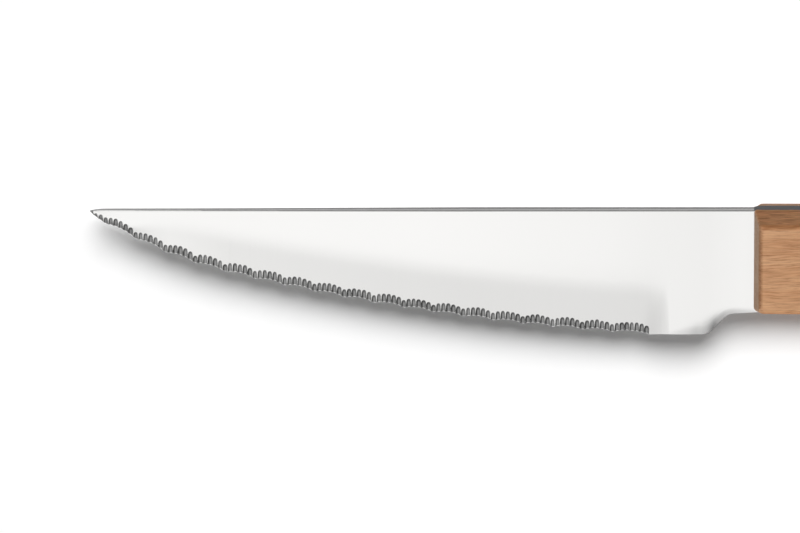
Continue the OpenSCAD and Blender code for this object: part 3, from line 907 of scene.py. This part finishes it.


# Painted shade along the blade, darker from its middle towards the handle, and painted shade and highlight
# across its stamped edge from the lower face
SHADE_TOWARDS_HEEL = [(0.5, 1.0), (0.77, 0.96), (0.85, 0.935), (0.93, 0.92), (0.98, 0.95)]
EDGE_SHADE_ACROSS = [(0.0, 0.03), (0.3, 0.12), (0.42, 0.26), (0.58, 1.0), (0.72, 0.75), (1.0, 0.5)]
FACE_STEEL = steel("blade_face", (0.93, 0.925, 0.912), rough=0.2, waves=(5200, 60, 60),
                   streak=0.04, bump=0.1, shade_along=SHADE_TOWARDS_HEEL)
# The flutes', the stamped edge's and the tang edge's steels are darker copies of the face's steel, as painted
# shade
FLUTE_STEEL = steel("blade_flutes", (0.435, 0.435, 0.432), rough=0.18, waves=(900, 5200, 900),
                    streak=0.1, bump=0.2)
STAMPED_STEEL = steel("blade_stamped_edge", (0.29, 0.29, 0.287), rough=0.26, waves=(120, 2500, 4200),
                      streak=0.12, bump=0.3, shade_across=EDGE_SHADE_ACROSS)
TANG_STEEL = steel("tang_edge", (0.05, 0.051, 0.053), rough=0.5, waves=(160, 2500, 4200),
                   streak=0.14, bump=0.3)
RIVET_STEEL = steel("rivet_face", (0.72, 0.71, 0.69), rough=0.3, waves=(200, 6500, 200),
                    streak=0.12, bump=0.3)
WOOD = wood("scale_wood")


pieces = []


def place(obj, node, slot):
    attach(obj, BODY)
    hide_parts(node)
    pieces.append(obj)


BLADE_STEELS = [FACE_STEEL, FLUTE_STEEL, STAMPED_STEEL, TANG_STEEL]
place(blade_mesh().build("blade_and_tang", BLADE_STEELS), "blade", "blade_steel")
place(scale_mesh(1).build("scale_upper", [WOOD]), "upper_scale", "scale_wood")
place(scale_mesh(-1).build("scale_lower", [WOOD]), "lower_scale", "scale_wood")
for spot, centre in zip(("front", "middle", "rear"), RIVETS):
    place(lathe_mesh(centre, PIN_PROFILE).build("rivet_pin_" + spot, [RIVET_STEEL]),
          spot + "_rivet_pin", "rivet_steel")
    place(lathe_mesh(centre, SLEEVE_PROFILE).build("rivet_sleeve_" + spot, [RIVET_STEEL]),
          spot + "_rivet_sleeve", "rivet_steel")

# Table: white to the eye and in the steel, where it glows more towards the handle, and greyer as a source
# of bounced light. From below it is clear. Its half width and the gap under the knife are in metres
FLOOR_HALF = 4.0
FLOOR_GAP = 0.00003
FLOOR_CORNERS = ((-1, -1), (1, -1), (1, 1), (-1, 1))
FLOOR_GLOW = 0.07
GLOW_GAIN = 1.1
GLOW_START = -40.0
GLOW_END = 5.0
FLOOR_WHITE = 0.97
FLOOR_BOUNCE = 0.36
floor_points = [(sx * FLOOR_HALF, sy * FLOOR_HALF, -FLOOR_GAP) for sx, sy in FLOOR_CORNERS]
floor_mesh = bpy.data.meshes.new("table")
floor_mesh.from_pydata(floor_points, [], [(0, 1, 2, 3)])
table_top = bpy.data.objects.new("table", floor_mesh)
bpy.context.scene.collection.objects.link(table_top)
floor_material, paint, unused_shader = new_material("table_white")
paint.tree.nodes.remove(unused_shader)
light_path = paint.add("ShaderNodeLightPath").outputs
mirrored = paint.math("MAXIMUM", light_path["Is Glossy Ray"], light_path["Is Transmission Ray"])
seen = paint.math("MAXIMUM", light_path["Is Camera Ray"], mirrored)
past = paint.math("SUBTRACT", paint.split(paint.place())["X"], (OFFSET[0] + GLOW_START) * MM)
glow_share = paint.math("DIVIDE", past, (GLOW_END - GLOW_START) * MM, clamp=True)
gain = paint.math("MULTIPLY_ADD", glow_share, GLOW_GAIN * FLOOR_GLOW, FLOOR_GLOW)
glow = paint.add("ShaderNodeEmission", {"Strength": paint.math("MULTIPLY", seen, gain)})
white = paint.mix(seen, grey(FLOOR_BOUNCE), grey(FLOOR_WHITE))
paper = paint.add("ShaderNodeBsdfDiffuse", {"Color": white})
lit = paint.add("ShaderNodeAddShader", {0: paper.outputs[0], 1: glow.outputs[0]})
behind = paint.add("ShaderNodeNewGeometry").outputs["Backfacing"]
clear = paint.add("ShaderNodeBsdfTransparent")
surface = paint.add("ShaderNodeMixShader", {0: behind, 1: lit.outputs[0], 2: clear.outputs[0]})
paint.set(paint.tree.nodes["Material Output"].inputs["Surface"], surface.outputs[0])
floor_mesh.materials.append(floor_material)

# Room: a white ceiling that darkens towards the walls for what the steel mirrors, and a little even fill
# for the rest. Levels by how high a direction points, by its turn to the butt and by its turn to the back
FILL = 0.08
CEILING = 1.2
OVERHEAD = [(0.0, 0.09), (0.35, 0.14), (0.6, 0.33), (0.74, 0.57), (0.84, 0.745), (0.93, 1.0), (0.96, 1.0),
            (1.0, 0.86)]
SIDEWAYS = [(0.125, 2.0), (0.2, 1.4), (0.25, 1.13), (0.32, 0.9), (0.4, 0.8), (0.45, 0.825), (0.49, 0.925),
            (0.56, 0.86), (0.625, 0.68), (0.725, 0.45)]
BACK_WALL = [(0.55, 1.0), (0.8, 2.0), (1.0, 2.4)]
world = bpy.data.worlds.new("studio")
world.use_nodes = True
bpy.context.scene.world = world
sky = Nodes(world.node_tree)
direction = sky.split(sky.add("ShaderNodeTexCoord").outputs["Generated"])
butt_turn = sky.math("MULTIPLY", sky.math("ADD", direction["X"], 1.0), 0.5)
room = sky.times(sky.ramp(direction["Z"], OVERHEAD), sky.ramp(butt_turn, SIDEWAYS),
                 sky.ramp(direction["Y"], BACK_WALL))
sky_path = sky.add("ShaderNodeLightPath").outputs
in_steel = sky.math("MAXIMUM", sky_path["Is Glossy Ray"], sky_path["Is Transmission Ray"])
unlit = sky.mix(sky_path["Is Camera Ray"], grey(FILL), grey(1.0))
sky_colour = sky.mix(in_steel, unlit, sky.scaled(room, CEILING))
sky.set(sky.tree.nodes["Background"].inputs["Color"], sky_colour)

# Spot that the camera and the lamps aim at
AIM = (-64.0, -11.1, 0.0)
MIDDLE = Vector(to_part(AIM))


# Broad lamps: one over the knife, one over the back of the blade whose shadow lies on the table below the
# edge, and a weaker one for the knife's underside, which shines through the table
def lamp(name, level, spread, lean_x, lean_y, lit_objects, shading_objects, side=1):
    """Sun lamp of a level of light, with its spread and its lean towards the butt and the back in degrees."""
    data = bpy.data.lights.new(name, "SUN")
    data.energy = level * math.pi
    data.angle = math.radians(spread)
    obj = bpy.data.objects.new(name, data)
    bpy.context.scene.collection.objects.link(obj)
    source = Vector((math.sin(math.radians(lean_x)), math.sin(math.radians(lean_y)), 0))
    source.z = side * math.sqrt(1 - source.length_squared)
    obj.location = MIDDLE + source
    obj.rotation_mode = "QUATERNION"
    obj.rotation_quaternion = (-source).to_track_quat("-Z", "Y")
    obj.visible_glossy = False
    lit_group = bpy.data.collections.new(name + "_lit")
    for each in lit_objects:
        lit_group.objects.link(each)
    obj.light_linking.receiver_collection = lit_group
    shading_group = bpy.data.collections.new(name + "_shading")
    for each in shading_objects:
        shading_group.objects.link(each)
    obj.light_linking.blocker_collection = shading_group


metal = [p for p in pieces if "scale" not in p.name]
lamp("over_knife", level=0.92, spread=50, lean_x=-20, lean_y=0, lit_objects=pieces, shading_objects=pieces)
lamp("over_table", level=1.27, spread=35, lean_x=0, lean_y=45.5, lit_objects=[table_top],
     shading_objects=metal)
lamp("under_knife", level=0.6, spread=50, lean_x=0, lean_y=-35, lit_objects=pieces, shading_objects=pieces,
     side=-1)

# Camera: tilted towards the back of the blade, with a long lens. Its distances are in metres
CAMERA_TILT = math.radians(20)
FRAME_W = 144.7 * MM
CAMERA_DISTANCE = 4.0
SENSOR_W = 36.0
CLIP_END = 50.0
camera_data = bpy.data.cameras.new("camera")
camera_data.sensor_width = SENSOR_W
camera_data.lens = SENSOR_W * CAMERA_DISTANCE / FRAME_W
camera = bpy.data.objects.new("camera", camera_data)
bpy.context.scene.collection.objects.link(camera)
camera.location = MIDDLE + CAMERA_DISTANCE * Vector((0, math.sin(CAMERA_TILT), math.cos(CAMERA_TILT)))
camera.rotation_euler = (-CAMERA_TILT, 0, 0)
camera_data.clip_end = CLIP_END
bpy.context.scene.camera = camera
bpy.context.scene.view_settings.view_transform = "Standard"

bpy.context.view_layer.update()
